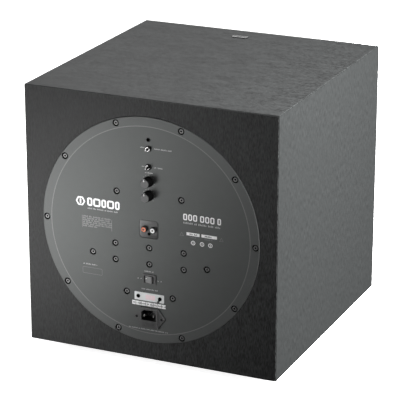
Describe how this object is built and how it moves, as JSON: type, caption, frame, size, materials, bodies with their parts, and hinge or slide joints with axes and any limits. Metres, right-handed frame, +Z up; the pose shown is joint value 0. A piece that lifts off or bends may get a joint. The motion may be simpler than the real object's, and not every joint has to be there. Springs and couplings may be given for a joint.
{
  "type": "powered subwoofer",
  "caption": "Free-standing sealed cabinet with a large front driver and a round rear amplifier plate that carries knobs, toggles, a rocker and a mains inlet.",
  "frame": {"origin": "on the floor under the middle of the whole object's bounding box", "axes": "+Z up, -Y out of the front baffle with the driver, +Y out of the rear face with the amplifier plate, +X to the right seen from the front"},
  "size_m": [0.4, 0.4338, 0.4093],
  "materials": {
    "cabinet_vinyl": "black ash vinyl over board, satin",
    "raw_board": "bare fibreboard",
    "plate_paint": "dark grey satin paint",
    "black_steel": "black oxide or black paint",
    "bright_metal": "bright plated",
    "heat_sink_aluminium": "extruded, satin",
    "foot_rubber": "matt",
    "gasket_foam": "closed-cell foam, matt",
    "black_plastic": "satin moulded",
    "red_plastic": "gloss",
    "white_plastic": "gloss",
    "clear_plastic": "clear sheet, slightly milky",
    "lens": "tinted lens",
    "circuit_board": "green solder mask",
    "copper_winding": "enamelled copper",
    "ferrite": "sintered, matt",
    "cone_paper": "coated paper pulp, matt",
    "spider_cloth": "resin-dipped cloth",
    "surround_rubber": "satin",
    "fuse_glass": "clear"
  },
  "bodies": {
    "cabinet": {"top_panel": "cabinet_vinyl", "bottom_panel": "cabinet_vinyl", "left_panel": "cabinet_vinyl", "right_panel": "cabinet_vinyl", "front_baffle": "cabinet_vinyl", "rear_panel": "cabinet_vinyl", "cabinet_brace": "raw_board", "foot_1": "foot_rubber", "foot_2": "foot_rubber", "foot_3": "foot_rubber", "foot_4": "foot_rubber", "top_badge": "bright_metal", "amp_plate": "plate_paint", "amp_gasket": "gasket_foam", "amp_screw_01": "black_steel", "amp_screw_02": "black_steel", "amp_screw_03": "black_steel", "amp_screw_04": "black_steel", "amp_screw_05": "black_steel", "amp_screw_06": "black_steel", "amp_screw_07": "black_steel", "amp_screw_08": "black_steel", "amp_screw_09": "black_steel", "amp_screw_10": "black_steel", "heat_sink": "heat_sink_aluminium", "amp_circuit_board": "circuit_board", "toroidal_transformer": "copper_winding", "filter_capacitor": "black_plastic", "status_led": "lens", "auto_switch_body": "bright_metal", "phase_switch_body": "bright_metal", "level_control_body": "bright_metal", "crossover_control_body": "bright_metal", "input_jack_housing": "black_plastic", "input_jack_right": "red_plastic", "input_jack_left": "white_plastic", "power_switch_frame": "black_plastic", "voltage_selector_body": "black_plastic", "voltage_selector_guard": "clear_plastic", "mains_inlet": "black_plastic", "mains_pin_line": "bright_metal", "mains_pin_neutral": "bright_metal", "mains_pin_earth": "bright_metal", "driver_basket": "black_steel", "driver_top_plate": "black_steel", "driver_magnet": "ferrite", "driver_yoke": "black_steel", "driver_spider": "spider_cloth", "driver_surround": "surround_rubber"},
    "woofer_cone": {"driver_cone": "cone_paper", "driver_dust_cap": "cone_paper", "driver_voice_coil": "copper_winding"},
    "level_knob": {"level_knob": "black_plastic"},
    "crossover_knob": {"crossover_knob": "black_plastic"},
    "auto_lever": {"auto_switch_lever": "bright_metal"},
    "phase_lever": {"phase_switch_lever": "bright_metal"},
    "power_rocker": {"power_switch_rocker": "black_plastic"},
    "voltage_slider": {"voltage_selector_slider": "red_plastic"},
    "fuse_drawer": {"fuse_drawer": "black_plastic", "mains_fuse": "fuse_glass"}
  },
  "joints": [
    {"name": "woofer_cone_travel", "type": "slide", "parent": "cabinet", "child": "woofer_cone", "axis": [0, -1, 0], "range_m": [-0.01, 0.01], "stiffness_N_per_m": 3000, "deforming": ["driver_surround", "driver_spider"]},
    {"name": "level_knob_turn", "type": "hinge", "parent": "cabinet", "child": "level_knob", "pos_m": [0, 0.20955, 0.286], "axis": [0, -1, 0], "range_deg": [-150, 150]},
    {"name": "crossover_knob_turn", "type": "hinge", "parent": "cabinet", "child": "crossover_knob", "pos_m": [0, 0.20955, 0.2645], "axis": [0, -1, 0], "range_deg": [-150, 150]},
    {"name": "auto_switch_throw", "type": "hinge", "parent": "cabinet", "child": "auto_lever", "pos_m": [0, 0.20055, 0.3352], "axis": [0, 0, 1], "range_deg": [-12, 12]},
    {"name": "phase_switch_throw", "type": "hinge", "parent": "cabinet", "child": "phase_lever", "pos_m": [0, 0.20055, 0.3078], "axis": [0, 0, 1], "range_deg": [-12, 12]},
    {"name": "power_rocker_tip", "type": "hinge", "parent": "cabinet", "child": "power_rocker", "pos_m": [0, 0.19895, 0.1356], "axis": [0, 0, 1], "range_deg": [0, 18]},
    {"name": "voltage_slider_shift", "type": "slide", "parent": "cabinet", "child": "voltage_slider", "axis": [1, 0, 0], "range_m": [0, 0.004]},
    {"name": "fuse_drawer_pull", "type": "slide", "parent": "cabinet", "child": "fuse_drawer", "axis": [0, 1, 0], "range_m": [0, 0.018]}
  ]
}
